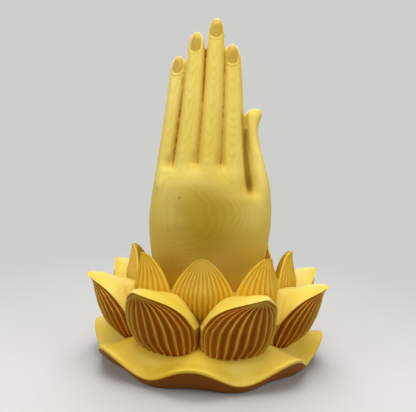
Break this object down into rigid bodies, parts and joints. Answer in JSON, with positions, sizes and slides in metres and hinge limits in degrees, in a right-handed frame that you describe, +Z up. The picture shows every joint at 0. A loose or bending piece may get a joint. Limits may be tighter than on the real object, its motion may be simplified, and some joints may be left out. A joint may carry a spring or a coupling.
{
  "type": "carved wooden hand ornament",
  "caption": "Open left hand carved in pale boxwood, standing upright in a lotus of two rings of fluted petals on a wavy-edged lotus leaf; a small devotional ornament.",
  "frame": {"origin": "the point where the lotus axis meets the flat underside of the leaf", "axes": "+Z up along the hand, -Y towards the back of the hand that the picture shows, +X towards the thumb's side"},
  "size_m": [0.1387, 0.1409, 0.1995],
  "materials": {
    "carved_boxwood": "golden yellow boxwood, satin wax polish",
    "petal_boxwood": "golden yellow boxwood, fluted, satin wax polish, brown in the grooves",
    "leaf_boxwood": "golden yellow boxwood, satin wax polish",
    "core_boxwood": "plain boxwood, mostly hidden",
    "dowel_wood": "plain pale hardwood, hidden"
  },
  "bodies": {
    "root": {"leaf_base": "leaf_boxwood", "lotus_core": "core_boxwood", "hand": "carved_boxwood", "hand_dowel": "dowel_wood", "inner_petal_1": "petal_boxwood", "inner_petal_2": "petal_boxwood", "inner_petal_3": "petal_boxwood", "inner_petal_4": "petal_boxwood", "inner_petal_5": "petal_boxwood", "inner_petal_6": "petal_boxwood", "inner_petal_7": "petal_boxwood", "inner_petal_8": "petal_boxwood", "outer_petal_1": "petal_boxwood", "outer_petal_2": "petal_boxwood", "outer_petal_3": "petal_boxwood", "outer_petal_4": "petal_boxwood", "outer_petal_5": "petal_boxwood", "outer_petal_6": "petal_boxwood", "outer_petal_7": "petal_boxwood", "outer_petal_8": "petal_boxwood"}
  },
  "joints": []
}
